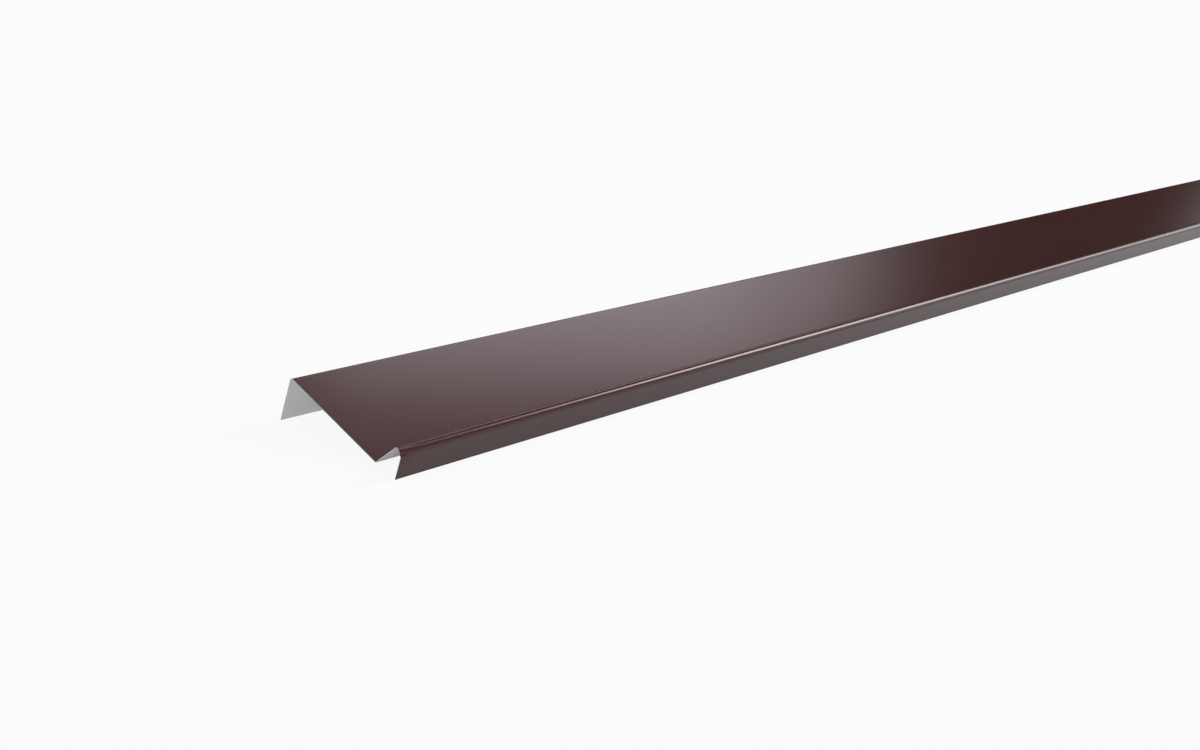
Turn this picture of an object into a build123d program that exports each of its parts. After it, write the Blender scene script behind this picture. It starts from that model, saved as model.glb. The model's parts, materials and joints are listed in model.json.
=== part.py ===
"""Wall abutment flashing: one strip of pre-painted steel sheet, folded lengthwise.

The section is set out as a bend table, the way a folding machine is set: a flat,
a bend, the next flat, from the back flange's cut edge to the drop flange's cut
edge. The line that is set out is the painted face, and the sheet's thickness
lies behind it. The strip stands as it lies on a floor, on its two cut edges.

Frame: X runs along the strip, the ridge and drop flange face -Y, and Z is up.
The origin is under the middle of the strip, on the floor.
"""

import os

from build123d import *

# Stock, in millimetres: a fifth of a 1250 mm coil, cut to the usual 2 m length
strip_length = 2000.0
sheet_thickness = 0.5

# Flats, each measured between the bends at its ends
back_flange_flat = 46.7
plate_flat = 127.5
kick_flat = 34.9
drop_flange_flat = 22.5

# Turn of each bend in degrees: minus folds away from the paint, plus folds towards it
back_fold_turn = -76.0
valley_turn = 50.5
ridge_turn = -150.5

# Radius on the hollow side of each bend
back_fold_radius = 4.0
valley_radius = 0.8
ridge_radius = 4.25

# Bend table: the flat, then the turn and the hollow radius of the bend that ends it
BEND_TABLE = [
    (back_flange_flat, back_fold_turn, back_fold_radius),
    (plate_flat, valley_turn, valley_radius),
    (kick_flat, ridge_turn, ridge_radius),
]

# Section plane: its x runs from the back flange towards the drop flange, its y is up
SECTION_PLANE = Plane(origin=(0, 0, 0), x_dir=(0, -1, 0), z_dir=(-1, 0, 0))


def painted_radius(turn, hollow_radius):
    """Radius of a bend on the painted face, which is the outer face where the turn is minus."""
    return hollow_radius + sheet_thickness if turn < 0 else hollow_radius


def painted_face_line():
    """Flats and tangent arcs along the painted face, with the plate running along x."""
    heading = Vector(1, 0).rotate(Axis.Z, -back_fold_turn)
    point = Vector(0, 0)
    edges = []
    for flat, turn, hollow_radius in BEND_TABLE:
        run = Edge.make_line(point, point + heading * flat)
        bend = JernArc(run @ 1, heading, painted_radius(turn, hollow_radius), turn)
        edges += [run, bend.edge()]
        point, heading = bend @ 1, bend % 1
    edges.append(Edge.make_line(point, point + heading * drop_flange_flat))
    return Wire(edges)


def sheet_section(painted_line):
    """The painted line given the sheet's thickness, as one closed face."""
    outline = painted_line.offset_2d(sheet_thickness, side=Side.RIGHT, closed=True)
    return Face(outline)


def resting_tilt(painted_line):
    """Angle of the line between the middles of the two cut edges, which both lie on the floor."""
    feet = []
    for end in (0, 1):
        behind_paint = (painted_line % end).rotate(Axis.Z, -90)
        feet.append((painted_line @ end) + behind_paint * sheet_thickness / 2)
    across = feet[1] - feet[0]
    return Vector(1, 0).get_signed_angle(across, Vector(0, 0, 1))


def flashing_strip():
    """The folded strip, standing on the floor with its origin under its middle."""
    line = painted_face_line()
    section = sheet_section(line).rotate(Axis.Z, -resting_tilt(line))
    strip = extrude(SECTION_PLANE * section, strip_length / 2, both=True)
    box = strip.bounding_box()
    return Pos(0, -box.center().Y, -box.min.Z) * strip


def developed_width():
    """Width of the flat sheet before folding, along the middle of its thickness."""
    flats = sum(row[0] for row in BEND_TABLE) + drop_flange_flat
    arcs = sum(
        Edge.make_circle(radius + sheet_thickness / 2).length * abs(turn) / 360
        for _, turn, radius in BEND_TABLE
    )
    return flats + arcs


os.makedirs("parts", exist_ok=True)
export_step(flashing_strip(), "parts/flashing_strip.step")
print(f"developed width {developed_width():.2f} mm")
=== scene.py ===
# %% [markdown]
# # A wall abutment flashing
#
# The object is one strip of pre-painted steel sheet. A folding machine has bent it along its
# whole length, so that every slice across it is the same: a back flange, a broad cover plate,
# a sharp valley, a short kick that climbs to a rounded ridge, and a drop flange.
#
# The imported CAD part is loaded first. It fixes the size and the place of everything here, and
# its box is kept.

# %% Load the fixed frame
import json
import math

import bmesh
import bpy
from mathutils import Matrix, Vector, noise


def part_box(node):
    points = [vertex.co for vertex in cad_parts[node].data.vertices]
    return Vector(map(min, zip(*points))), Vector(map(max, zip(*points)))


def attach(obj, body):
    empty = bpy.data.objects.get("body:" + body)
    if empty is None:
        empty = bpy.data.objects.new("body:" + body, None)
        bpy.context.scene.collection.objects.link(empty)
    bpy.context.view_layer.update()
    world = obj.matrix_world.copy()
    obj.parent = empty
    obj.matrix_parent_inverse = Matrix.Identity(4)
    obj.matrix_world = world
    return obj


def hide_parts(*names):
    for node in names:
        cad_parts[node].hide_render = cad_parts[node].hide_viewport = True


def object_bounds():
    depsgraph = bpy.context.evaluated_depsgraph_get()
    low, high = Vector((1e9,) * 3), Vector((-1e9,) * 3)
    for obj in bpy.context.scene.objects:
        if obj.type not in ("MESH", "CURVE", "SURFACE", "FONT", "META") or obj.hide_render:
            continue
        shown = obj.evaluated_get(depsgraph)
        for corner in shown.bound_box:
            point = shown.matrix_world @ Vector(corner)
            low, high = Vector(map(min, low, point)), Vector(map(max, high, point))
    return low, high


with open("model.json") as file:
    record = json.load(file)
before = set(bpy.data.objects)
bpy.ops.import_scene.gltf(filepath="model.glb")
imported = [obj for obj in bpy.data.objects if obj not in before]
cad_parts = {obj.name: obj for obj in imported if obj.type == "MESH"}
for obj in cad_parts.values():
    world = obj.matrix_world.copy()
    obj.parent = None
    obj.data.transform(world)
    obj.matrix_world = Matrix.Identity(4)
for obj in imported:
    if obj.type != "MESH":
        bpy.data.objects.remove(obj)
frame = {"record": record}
cad_low, cad_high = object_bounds()
print("CAD box in metres:", [round(side, 4) for side in cad_high - cad_low])

# %% [markdown]
# ## The bend table
#
# A folder works from a bend table: go straight for so long, then bend by so much round such a
# radius, and go on. We keep the same table, in metres and degrees. The line it draws is the
# painted face. A minus turn folds away from the paint, and a plus turn folds towards it. Each
# radius is the one in the hollow of its bend, so where the paint is on the outside, the
# sheet's thickness is added to it.

# %% Sheet and bend table
SHEET = 0.0005
BEND_TABLE = (
    # flat before the bend, turn, radius in the hollow
    (0.0467, -76.0, 0.0040),  # back flange, then the back fold
    (0.1275, 50.5, 0.0008),  # cover plate, then the valley
    (0.0349, -150.5, 0.00425),  # kick, then the rounded ridge
)
DROP_FLANGE = 0.0225


def painted_radius(turn, hollow):
    """Radius of a bend along the painted face."""
    return hollow + SHEET if turn < 0 else hollow


def bend_length(turn, hollow):
    """Length of a bend along the painted face."""
    return math.radians(abs(turn)) * painted_radius(turn, hollow)


print("bends:", len(BEND_TABLE))

# %% [markdown]
# ## Folding one section
#
# We could work out every corner with sines and cosines. It is simpler to let one vertex do
# what the sheet does. `bmesh.ops.spin` with an angle of zero and a step pulls the vertex
# straight and leaves edges behind it, which is a flat. With an angle and no step it swings the
# vertex round a centre, which is a bend.
#
# The bends get short steps, so that the highlight on the ridge stays round. Each flat starts
# and ends with a very short edge, a holding loop. It keeps the smooth shading of the bend from
# spreading over the flat.

# %% Fold one section
LENGTHWISE = Vector((1, 0, 0))
FOLD_AXIS = -LENGTHWISE
TOWARDS_RIDGE = Vector((0, -1, 0))
FLAT_STEP = 0.012
HOLDING_EDGE = 0.0003
DEGREES_PER_STEP = 5.0
FEWEST_STEPS = 6
QUARTER_TURN = 90


def turned(heading, degrees):
    """A heading in the section's plane, turned by the table's sign."""
    return Matrix.Rotation(math.radians(degrees), 3, FOLD_AXIS) @ heading


def pull(bm, tip, step, steps):
    """Pulls the tip straight ahead in equal steps and returns the new tip."""
    pulled = bmesh.ops.spin(
        bm, geom=[tip], cent=tip.co, axis=FOLD_AXIS, dvec=step, angle=0, steps=steps
    )
    return pulled["geom_last"][0]


def pull_flat(bm, tip, heading, length):
    """Pulls a flat, with a holding edge at both ends, and returns the new tip."""
    middle = length - 2 * HOLDING_EDGE
    steps = max(1, round(middle / FLAT_STEP))
    tip = pull(bm, tip, heading * HOLDING_EDGE, 1)
    tip = pull(bm, tip, heading * middle / steps, steps)
    return pull(bm, tip, heading * HOLDING_EDGE, 1)


def swing_bend(bm, tip, heading, turn, radius):
    """Swings the tip round a bend and returns the new tip and its heading."""
    centre = tip.co + turned(heading, math.copysign(QUARTER_TURN, turn)) * radius
    steps = max(FEWEST_STEPS, round(abs(turn) / DEGREES_PER_STEP))
    swung = bmesh.ops.spin(
        bm, geom=[tip], cent=centre, axis=FOLD_AXIS, angle=math.radians(turn), steps=steps
    )
    return swung["geom_last"][0], turned(heading, turn)


def fold_section(bm):
    """Folds the painted line from the back flange's cut edge on, with the plate level."""
    back_turn = BEND_TABLE[0][1]
    heading = turned(TOWARDS_RIDGE, -back_turn)
    tip = bm.verts.new((0, 0, 0))
    for flat, turn, hollow in BEND_TABLE:
        tip = pull_flat(bm, tip, heading, flat)
        tip, heading = swing_bend(bm, tip, heading, turn, painted_radius(turn, hollow))
    pull_flat(bm, tip, heading, DROP_FLANGE)


strip_bm = bmesh.new()
fold_section(strip_bm)
print("section points:", len(strip_bm.verts))

# %% [markdown]
# ## Marking the blank
#
# Before it was folded, the strip was a flat blank. It helps to know where on that blank each
# point lies, because paint streaks and buckles follow the sheet and not the air round it. The
# points stand in order along the line, so a running sum of the edges gives the distance from
# the back flange's edge, and a layer on the vertices carries it through the next operators.

# %% Measure the distance across the blank
across_blank = strip_bm.verts.layers.float.new("across_blank")
strip_bm.verts.ensure_lookup_table()
for before, after in zip(strip_bm.verts[:-1], strip_bm.verts[1:]):
    after[across_blank] = before[across_blank] + (after.co - before.co).length
blank_width = strip_bm.verts[-1][across_blank]
print("blank is", round(blank_width * 1000, 1), "mm wide along the paint")

# %% [markdown]
# ## Leaning it as it lies
#
# On the floor the strip rests on its two cut edges, so the plate slopes towards the ridge. The
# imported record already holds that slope: the mount under the plate states which way its face
# looks. We turn the section until its plate looks the same way.

# %% Turn the section
UP = Vector((0, 0, 1))
mounts = {mount["name"]: mount for mount in frame["record"]["mounts"]}
plate_up = -Vector(mounts["plate_underside"]["axis"])
slope = UP.rotation_difference(plate_up).to_matrix()
bmesh.ops.rotate(strip_bm, cent=(0, 0, 0), matrix=slope, verts=strip_bm.verts)
print("plate slopes by", round(math.degrees(UP.angle(plate_up)), 1), "degrees")

# %% [markdown]
# ## Drawing it out
#
# An extrusion would give the strip its length in one go. A spin with no angle does it in
# steps, and the steps are the rows of faces that the sheet needs to buckle a little. The rows
# are close together for the first two centimetres, because the near end will be dented.

# %% Draw the section out along the strip
LENGTH_STEP = 0.025
DENT_LENGTH = 0.020
DENT_STEP = 0.00125


def draw_out(bm, edges, length, step):
    """Draws edges out along the strip and returns the edges of the last row."""
    rows = round(length / step)
    pace = LENGTHWISE * length / rows
    drawn = bmesh.ops.spin(
        bm, geom=edges, cent=(0, 0, 0), axis=LENGTHWISE, dvec=pace, angle=0, steps=rows
    )
    return [part for part in drawn["geom_last"] if isinstance(part, bmesh.types.BMEdge)]


strip_length = cad_high.x - cad_low.x
row_edges = draw_out(strip_bm, strip_bm.edges[:], DENT_LENGTH, DENT_STEP)
draw_out(strip_bm, row_edges, strip_length - DENT_LENGTH, LENGTH_STEP)
bmesh.ops.recalc_face_normals(strip_bm, faces=strip_bm.faces)
highest = max(strip_bm.faces, key=lambda face: face.calc_center_median().z)
if highest.normal.z < 0:
    bmesh.ops.reverse_faces(strip_bm, faces=strip_bm.faces)
print("painted faces:", len(strip_bm.faces))

# %% [markdown]
# ## Oil canning
#
# Thin sheet is never quite flat. Between two stiff folds the plate bulges and dips by a tenth
# of a millimetre or so, and the gloss shows it as a slow waver in the reflections. We push the
# plate along its own normal by a smooth noise that fades to nothing at the folds, so that the
# folds stay straight.

# %% Buckle the plate
BUCKLE = 0.00010
BUCKLE_LENGTH = 0.25
back_flange, back_turn, back_hollow = BEND_TABLE[0]
plate_start = back_flange + bend_length(back_turn, back_hollow)
plate_width = BEND_TABLE[1][0]
for vert in strip_bm.verts:
    share = (vert[across_blank] - plate_start) / plate_width
    if 0 < share < 1:
        fade = math.sin(math.pi * share) ** 2
        wave = noise.noise(Vector((vert.co.x / BUCKLE_LENGTH, share, 0)))
        vert.co += plate_up * BUCKLE * fade * wave
print("plate buckles by up to", round(BUCKLE * 1000, 2), "mm")

# %% [markdown]
# ## The dented end
#
# Shears press before they cut. At the near end they have pushed the round nose of the ridge in
# by about two millimetres, and the outline has a small notch there. We push the same points in
# along their own normals. The push grows from the start of the ridge to its nose, ends just
# past the start of the drop flange, and is gone two centimetres from the cut.

# %% Dent the ridge at the near end
DENT_DEPTH = 0.0022
RIDGE_TO_NOSE = 0.010
RIDGE_TO_DENT_END = 0.0135
ridge_turn, ridge_hollow = BEND_TABLE[2][1:]
ridge_start = blank_width - DROP_FLANGE - bend_length(ridge_turn, ridge_hollow)


def eased(value, low, high):
    """A smooth rise from 0 at low to 1 at high."""
    share = min(max((value - low) / (high - low), 0), 1)
    return share * share * (3 - 2 * share)


strip_bm.normal_update()
for vert in strip_bm.verts:
    past_start = vert[across_blank] - ridge_start
    nearness = max(0, 1 - vert.co.x / DENT_LENGTH) ** 2
    rise = eased(past_start, 0, RIDGE_TO_NOSE)
    fall = eased(past_start, RIDGE_TO_NOSE, RIDGE_TO_DENT_END)
    bulge = rise * (1 - fall)
    vert.co -= vert.normal * DENT_DEPTH * nearness * bulge
print("near end dented by", round(DENT_DEPTH * 1000, 1), "mm")

# %% [markdown]
# ## Thickness and three surfaces
#
# The strip has three surfaces: the brown coat on the weather side, the grey coat on the hidden
# side, and the bare steel of the cut edges. `bmesh.ops.solidify` thickens the sheet behind the
# paint and hands back the new faces of the hidden side. What is neither old nor hidden is the
# narrow rim where the sheet was cut. Each kind gets its own material slot. The edges of the
# rim are marked sharp, and everything else is shaded smooth.

# %% Thicken the sheet and sort its faces
PAINT, BACK, CUT = range(3)
SHARP = math.radians(40)
painted = set(strip_bm.faces)
thickened = bmesh.ops.solidify(strip_bm, geom=strip_bm.faces[:], thickness=SHEET)
hidden = set(thickened["geom"]).intersection(strip_bm.faces)
for face in strip_bm.faces:
    face.material_index = PAINT if face in painted else BACK if face in hidden else CUT
    face.smooth = True
for edge in strip_bm.edges:
    edge.smooth = edge.calc_face_angle(0) < SHARP
cut_count = len(strip_bm.faces) - len(painted) - len(hidden)
print("paint, back and cut faces:", len(painted), len(hidden), cut_count)

# %% [markdown]
# ## Into the CAD part's place
#
# The folded sheet still starts at its own zero. We slide it so that its lowest corner meets
# the CAD node's, and unroll it into a UV map: along the strip one way, and across the blank
# the other, both in metres. Then it becomes an object that rides on the part's only body, and
# it is shown instead of the plain node.

# %% Place the sheet and make it an object
low = Vector([min(vert.co[axis] for vert in strip_bm.verts) for axis in range(3)])
bmesh.ops.translate(strip_bm, vec=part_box("flashing_strip")[0] - low, verts=strip_bm.verts)
blank_map = strip_bm.loops.layers.uv.new("blank")
for face in strip_bm.faces:
    for loop in face.loops:
        loop[blank_map].uv = (loop.vert.co.x, loop.vert[across_blank])


def to_object(bm, name):
    """Makes a finished bmesh an object of the scene."""
    mesh = bpy.data.meshes.new(name)
    bm.to_mesh(mesh)
    bm.free()
    made = bpy.data.objects.new(name, mesh)
    bpy.context.scene.collection.objects.link(made)
    return made


sheet = to_object(strip_bm, "folded_sheet")
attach(sheet, "root")
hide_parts("flashing_strip")
print("sheet:", len(sheet.data.polygons), "faces")

# %% [markdown]
# ## Shader maths in plain formulas
#
# A material is a small network of nodes, and most of the nodes only add and multiply. This
# class wraps one socket, so that Python's own signs make those nodes: `1 - mask` adds a Math
# node and links it. Every other node comes from `node`, which sets the node up first and then
# fills its sockets with numbers or links.

# %% A socket that can be used in formulas
MIX_FACTOR, MIX_FIRST, MIX_SECOND, MIX_RESULT = 0, 6, 7, 2


class Wire:
    """One output socket of a node tree, ready for arithmetic."""

    def __init__(self, tree, socket=None):
        self.tree = tree
        self.socket = socket

    def node(self, kind, settings=None, inputs=None, output=0):
        """Adds a node to this wire's tree and returns one of its outputs."""
        made = self.tree.nodes.new(kind)
        for name, value in (settings or {}).items():
            setattr(made, name, value)
        for name, value in (inputs or {}).items():
            if isinstance(value, Wire):
                self.tree.links.new(value.socket, made.inputs[name])
            else:
                made.inputs[name].default_value = value
        return Wire(self.tree, made.outputs[output] if made.outputs else None)

    def number_math(self, operation, first, second):
        """A Math node on two numbers."""
        return self.node("ShaderNodeMath", {"operation": operation}, {0: first, 1: second})

    def vector_math(self, operation, second, output=0):
        """A Vector Math node on this vector and a second one."""
        settings = {"operation": operation}
        return self.node("ShaderNodeVectorMath", settings, {0: self, 1: second}, output)

    def __add__(self, other):
        return self.number_math("ADD", self, other)

    def __radd__(self, other):
        return self.number_math("ADD", other, self)

    def __sub__(self, other):
        return self.number_math("SUBTRACT", self, other)

    def __rsub__(self, other):
        return self.number_math("SUBTRACT", other, self)

    def __mul__(self, other):
        return self.number_math("MULTIPLY", self, other)

    def __rmul__(self, other):
        return self.number_math("MULTIPLY", other, self)

    def __truediv__(self, other):
        return self.number_math("DIVIDE", self, other)

    def __rtruediv__(self, other):
        return self.number_math("DIVIDE", other, self)

    def __gt__(self, other):
        return self.number_math("GREATER_THAN", self, other)

    def dot(self, vector):
        """Length of this vector along another one."""
        return self.vector_math("DOT_PRODUCT", vector, "Value")

    def distance(self, point):
        """How far this position is from a point."""
        return self.vector_math("DISTANCE", point, "Value")

    def ramp(self, low, high):
        """A smooth rise from 0 at low to 1 at high."""
        inputs = {"Value": self, "From Min": low, "From Max": high}
        return self.node("ShaderNodeMapRange", {"interpolation_type": "SMOOTHSTEP"}, inputs)

    def cloud(self, lumps, detail):
        """A noise between 0 and 1 at this position, with so many lumps to the metre."""
        inputs = {"Vector": self, "Scale": lumps, "Detail": detail}
        return self.node("ShaderNodeTexNoise", None, inputs)

    def coil_cloud(self, squeeze, lumps, detail):
        """A noise on the blank, squeezed across the coil so that it runs along it."""
        return self.vector_math("MULTIPLY", (1, squeeze, 1)).cloud(lumps, detail)

    def blend(self, first, second):
        """A colour between two others, by this wire."""
        inputs = {MIX_FACTOR: self, MIX_FIRST: first, MIX_SECOND: second}
        return self.node("ShaderNodeMix", {"data_type": "RGBA"}, inputs, MIX_RESULT)


# %% [markdown]
# ## Opening and closing a material
#
# Every finish of the strip starts with an empty material in the mesh's next slot, and with the
# UV map of the blank. It ends with a Principled shader. The coats also share one kind of bump,
# so small that only the gloss shows it.

# %% Helpers for the finishes
BUMP_STRENGTH = 0.3


def new_material(name, mesh):
    """Adds an empty material to a mesh and returns a wire to start it from."""
    material = bpy.data.materials.new(name)
    material.use_nodes = True
    material.node_tree.nodes.clear()
    mesh.materials.append(material)
    return Wire(material.node_tree)


def blank_place(start):
    """The place on the flat blank, in metres."""
    return start.node("ShaderNodeUVMap", {"uv_map": "blank"})


def fine_bump(height, depth):
    """A very fine bump from a noise, so deep in metres."""
    inputs = {"Strength": BUMP_STRENGTH, "Distance": depth, "Height": height}
    return height.node("ShaderNodeBump", None, inputs)


def finish_material(start, **sockets):
    """Closes a material with a Principled shader that takes these sockets."""
    inputs = {name.replace("_", " "): value for name, value in sockets.items()}
    surface = start.node("ShaderNodeBsdfPrincipled", None, inputs)
    start.node("ShaderNodeOutputMaterial", None, {"Surface": surface})
    print("material finished with", len(start.tree.nodes), "nodes")


# %% [markdown]
# ## The brown coil coat
#
# The weather side is coil coated: the paint was rolled on and baked before the sheet was
# folded. It is a dark red brown with a satin gloss. What makes it look like paint and not
# like plastic is small: the colour drifts a little along the coil, the rollers leave faint
# streaks in the gloss, and the surface has a very fine orange peel. One nib of dirt sits in
# the paint of the plate. All of it follows the blank, so it is drawn on the UV map.

# %% Brown coil coat
BROWN_DARK = (0.0580, 0.0230, 0.0218, 1)
BROWN_LIGHT = (0.0640, 0.0256, 0.0244, 1)
SATIN = 0.16
DRIFT_DULLS, STREAKS_DULL, NIB_DULLS = 0.03, 0.04, 0.3
PEEL_LUMPS = 900
PEEL_DEPTH = 0.00001
NIB_PLACE = (-0.671, 0.1243, 0)
NIB_RADIUS = 0.0009
NIB_DIRT = (0.02, 0.01, 0.01, 1)
NIB_COVERS = 0.7


def coil_coat():
    """Brown baked paint on the weather side."""
    start = new_material("brown_coil_coat", sheet.data)
    blank = blank_place(start)
    drift = blank.coil_cloud(squeeze=4, lumps=5, detail=2)
    streaks = blank.coil_cloud(squeeze=160, lumps=6, detail=3)
    peel = blank.cloud(PEEL_LUMPS, detail=1)
    nib = 1 - blank.distance(NIB_PLACE).ramp(NIB_RADIUS / 2, NIB_RADIUS)
    paint = drift.blend(BROWN_DARK, BROWN_LIGHT)
    finish_material(
        start,
        Base_Color=(nib * NIB_COVERS).blend(paint, NIB_DIRT),
        Roughness=SATIN + drift * DRIFT_DULLS + streaks * STREAKS_DULL + nib * NIB_DULLS,
        Normal=fine_bump(peel, PEEL_DEPTH),
    )


coil_coat()

# %% [markdown]
# ## The grey back coat
#
# The hidden side only gets a thin service coat, a pale warm grey with no gloss to speak of. It
# covers less evenly than the paint, so it is cloudy and a little streaked along the coil.

# %% Grey back coat
GREY_DARK = (0.835, 0.82, 0.785, 1)
GREY_LIGHT = (0.915, 0.90, 0.86, 1)
CLOUD_SHARE, STREAK_SHARE = 0.6, 0.4
DULL = 0.42
CLOUDS_DULL = 0.1
GRAIN_LUMPS = 1200
GRAIN_DEPTH = 0.00002


def back_coat():
    """Thin grey service coat on the hidden side."""
    start = new_material("grey_back_coat", sheet.data)
    blank = blank_place(start)
    clouds = blank.coil_cloud(squeeze=3, lumps=9, detail=4)
    streaks = blank.coil_cloud(squeeze=120, lumps=5, detail=3)
    grain = blank.cloud(GRAIN_LUMPS, detail=1)
    cover = clouds * CLOUD_SHARE + streaks * STREAK_SHARE
    finish_material(
        start,
        Base_Color=cover.blend(GREY_DARK, GREY_LIGHT),
        Roughness=DULL + clouds * CLOUDS_DULL,
        Normal=fine_bump(grain, GRAIN_DEPTH),
    )


back_coat()

# %% [markdown]
# ## The bare cut edge
#
# The shears leave half a millimetre of bare steel with a skin of zinc on both sides. It is
# metal, so its colour is in its reflection. A fine noise breaks up the gloss as the torn grain
# of a sheared edge does. On the back flange the edge is given a dark bluish colour: painted
# shade for the shadow it lies in. The UV map tells the material where that flange ends.

# %% Bare cut edge
STEEL = (0.62, 0.61, 0.62, 1)
ZINC = (0.74, 0.73, 0.72, 1)
# Painted shade: the dark bluish colour of the back flange's cut edge, which lies in shadow.
EDGE_SHADE_COLOUR = (0.22, 0.22, 0.26, 1)
EDGE_SHADE_FADE = 0.005
ACROSS = (0, 1, 0)
TORN_LUMPS = 1500
SHEARED = 0.3
TORN_DULLS = 0.2


def cut_edge():
    """Bare sheared steel at the rim."""
    start = new_material("bare_cut_edge", sheet.data)
    place = start.node("ShaderNodeTexCoord", output="Object")
    grain = place.cloud(TORN_LUMPS, detail=3)
    from_edge = blank_place(start).dot(ACROSS)
    # Painted shade on the back flange's cut edge, fading out over a few millimetres past it.
    painted_edge_shade = 1 - from_edge.ramp(back_flange, back_flange + EDGE_SHADE_FADE)
    metal = painted_edge_shade.blend(grain.blend(STEEL, ZINC), EDGE_SHADE_COLOUR)
    roughness = SHEARED + grain * TORN_DULLS
    finish_material(start, Base_Color=metal, Metallic=1.0, Roughness=roughness)


cut_edge()

# %% [markdown]
# ## Floor
#
# A plain pale floor, so wide that its edge is lost at the horizon. It takes the strip's soft
# shadow, and it is what the drop flange mirrors. One big face is enough for that.

# %% Floor
FLOOR_HALF_WIDTH = 80
floor_bm = bmesh.new()
bmesh.ops.create_grid(floor_bm, x_segments=1, y_segments=1, size=FLOOR_HALF_WIDTH)
floor = to_object(floor_bm, "floor")
print("floor:", 2 * FLOOR_HALF_WIDTH, "m wide")

# %% [markdown]
# ## Floor paint
#
# The photograph's ground is nearly pure white. The underside of the ridge is dark all the
# same, so the floor that lit it can't have been as white as the one that we see. A Light Path
# node tells which ray is asking. The camera's rays meet a white floor and all others a greyer
# one, and a Mix Shader adds plain white for the camera and some for mirrors and glass.

# %% Floor paint
WHITE = (1, 1, 1, 1)
FLOOR_WHITE = (0.77, 0.80, 0.84, 1)
FLOOR_GREY = (0.55, 0.58, 0.62, 1)
FLOOR_WHITENED = 0.9
FLOOR_MIRRORED = 0.44
ground = new_material("white_floor", floor.data)
seen = ground.node("ShaderNodeLightPath", output="Is Camera Ray")
mirrored = ground.node("ShaderNodeLightPath", output="Is Glossy Ray")
through = ground.node("ShaderNodeLightPath", output="Is Transmission Ray")
floor_colour = seen.blend(FLOOR_GREY, FLOOR_WHITE)
matt = ground.node("ShaderNodeBsdfDiffuse", None, {"Color": floor_colour})
plain = ground.node("ShaderNodeEmission", None, {"Color": WHITE, "Strength": 1.0})
whitened = seen * FLOOR_WHITENED + (mirrored + through) * FLOOR_MIRRORED
ground_surface = ground.node("ShaderNodeMixShader", None, {0: whitened, 1: matt, 2: plain})
ground.node("ShaderNodeOutputMaterial", None, {"Surface": ground_surface})
print("floor paint:", len(ground.tree.nodes), "nodes")

# %% [markdown]
# ## Light panels
#
# A glossy brown sheet is mostly a mirror: its picture is made by what stands round it. Area
# lamps would do, but they fall off along a strip of two metres. Panels painted on the world
# are as if far away, so the light is even.
#
# A panel is a rectangle on a plane. Dividing a direction by its share along the plane's normal
# gives where it meets that plane, and two soft ramps each way cut the rectangle out.

# %% How a panel is painted on the world
world = bpy.data.worlds.new("studio")
bpy.context.scene.world = world
world.use_nodes = True
world.node_tree.nodes.clear()
studio = Wire(world.node_tree)
toward = studio.node("ShaderNodeTexCoord", output="Generated")


def compass(degrees):
    """A level direction, turned from the strip's back towards its far end."""
    return Vector((math.sin(math.radians(degrees)), math.cos(math.radians(degrees)), 0))


def within(place, rise_from, rise_to, fall_from, fall_to):
    """1 inside a stretch and 0 outside it, with a soft rise and a soft fall."""
    return place.ramp(rise_from, rise_to) * (1 - place.ramp(fall_from, fall_to))


def panel(facing, across, stretch_across, stretch_up):
    """1 where a direction meets a flat panel, and 0 past its soft edges."""
    ahead = toward.dot(facing)
    sideways = toward.dot(across) / ahead
    upwards = toward.dot(facing.cross(across)) / ahead
    return (ahead > 0) * within(sideways, *stretch_across) * within(upwards, *stretch_up)


print("world:", world.name)

# %% [markdown]
# ## Hanging the panels
#
# The studio has a large soft panel overhead, and a long one behind the strip, with a brighter
# core, that gives the broad pale band on the plate. A black card cuts the long panel off
# aslant, which is why the plate ends in plain dark brown. A window to the right has a narrow
# bright core that gives the ridge its line. A fill at the front left opens up the grey side,
# and a faint glow lies along the horizon.

# %% Hang the panels
CARD_FROM, CARD_TO = 0.6, 0.94
GLOW_FROM, GLOW_TO = 0.04, 0.1
overhead = panel(UP, compass(90), (-0.75, -0.45, 0.38, 0.66), (-0.72, -0.48, 0.18, 0.42))
black_card = (toward.dot(compass(132)) / toward.dot(UP)).ramp(CARD_FROM, CARD_TO)
uncut = panel(UP, compass(106), (0.34, 0.44, 1.8, 2.0), (0.88, 0.97, 1.5, 1.7))
behind = uncut * (1 - black_card)
behind_core = panel(UP, compass(106), (0.34, 0.44, 1.04, 1.21), (0.9, 1.02, 1.5, 1.7))
window = panel(compass(100), compass(10), (-0.6, -0.48, 0.3, 0.45), (-0.05, 0.06, 0.33, 0.42))
core_across = (-0.2, -0.14, -0.02, 0.38)
core_up = (0.16, 0.62, 0.62, 1.38)
window_core = panel(compass(118), compass(28), core_across, core_up)
fill = panel(compass(235), compass(145), (-0.7, -0.5, 0.5, 0.7), (-0.05, 0.15, 0.6, 0.8))
horizon = 1 - toward.dot(UP).ramp(GLOW_FROM, GLOW_TO)
print("panels:", len(world.node_tree.nodes), "nodes")

# %% [markdown]
# ## Turning the light on
#
# Each panel has its own strength, and two of them a faint tint: the one behind is a little
# cool, and the window's core is a little rosy. The camera itself sees none of the panels, only
# a plain sky as pale as the floor, so that no panel shows above the horizon.

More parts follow.
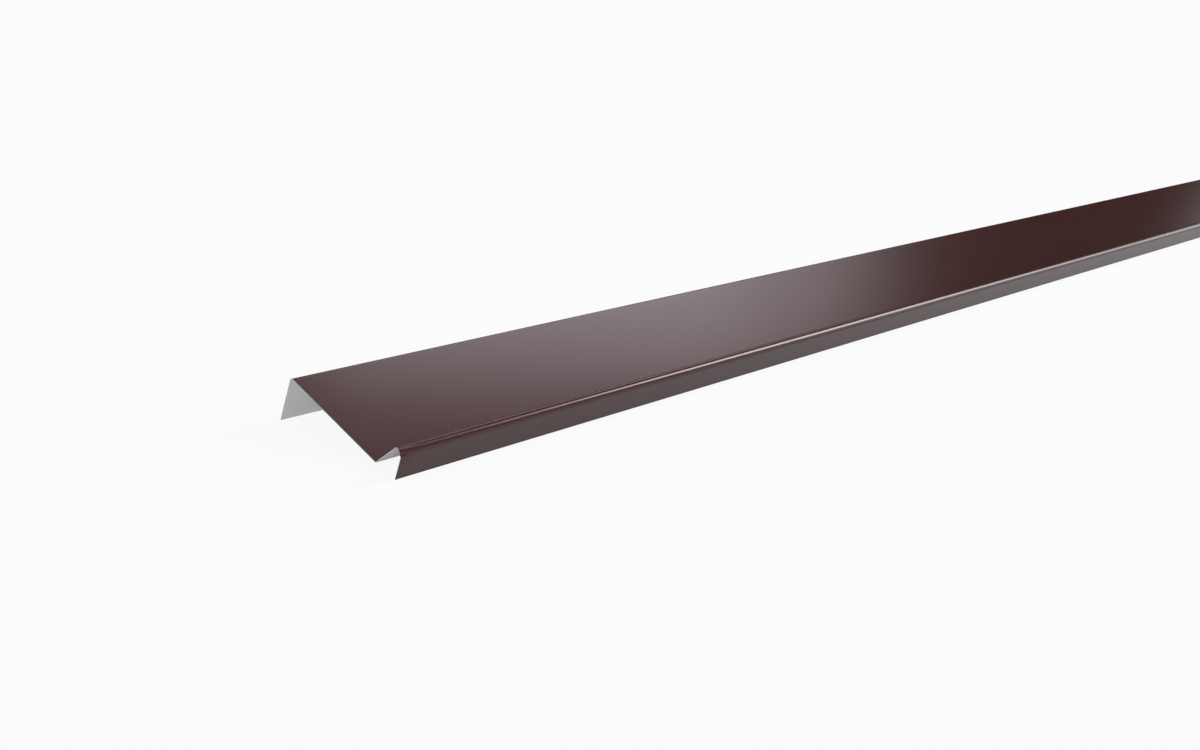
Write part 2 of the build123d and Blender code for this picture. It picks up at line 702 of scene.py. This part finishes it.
# %% Turn the light on
OVERHEAD_LIGHT = 1.45
BEHIND_LIGHT, BEHIND_CORE_LIGHT = 1.1845, 0.8446
WINDOW_LIGHT, WINDOW_CORE_LIGHT = 2.0, 13.5
FILL_LIGHT = 3.8
HORIZON_LIGHT = 0.3
SKY_SEEN = 0.97
COOL = (1.0, 0.965, 1.035, 1)
ROSY = (1.03, 0.95, 0.97, 1)
backlight = behind * BEHIND_LIGHT + behind_core * BEHIND_CORE_LIGHT
sidelight = window * WINDOW_LIGHT + window_core * WINDOW_CORE_LIGHT
softlight = overhead * OVERHEAD_LIGHT + fill * FILL_LIGHT + horizon * HORIZON_LIGHT
light = backlight + sidelight + softlight
tint = window_core.blend(behind.blend(WHITE, COOL), ROSY)
looked_at = studio.node("ShaderNodeLightPath", output="Is Camera Ray")
strength = light + looked_at * (SKY_SEEN - light)
colour = looked_at.blend(tint, WHITE)
background = studio.node("ShaderNodeBackground", None, {"Color": colour, "Strength": strength})
studio.node("ShaderNodeOutputWorld", None, {"Surface": background})
print("studio light:", len(world.node_tree.nodes), "nodes")

# %% [markdown]
# ## Camera
#
# The photograph was taken from before the strip's near end, a third of a metre above the floor
# and well in front, looking along the ridge. The lens came from how fast the folds run
# together in the picture. The camera is level, so two turns are enough: down from the horizon,
# and round from the strip's back.

# %% Camera
PHOTO_WIDTH = 1200
FOCAL_PIXELS = 1130
SENSOR_WIDTH = 36
BEFORE_NEAR_END = 0.4041
IN_FRONT_OF_MIDDLE = 0.7531
ABOVE_FLOOR = 0.3182
DOWN = 17.21
ROUND = 42.18

lens = bpy.data.cameras.new("photo_view")
lens.sensor_width = SENSOR_WIDTH
lens.lens = SENSOR_WIDTH * FOCAL_PIXELS / PHOTO_WIDTH
lens.clip_end = 4 * FLOOR_HALF_WIDTH
camera = bpy.data.objects.new("photo_view", lens)
camera.location = (cad_low.x - BEFORE_NEAR_END, -IN_FRONT_OF_MIDDLE, ABOVE_FLOOR)
camera.rotation_euler = (math.radians(90 - DOWN), 0, math.radians(-ROUND))
bpy.context.scene.collection.objects.link(camera)
bpy.context.scene.camera = camera
bpy.context.scene.view_settings.view_transform = "Standard"
print("lens:", round(lens.lens, 1), "mm")
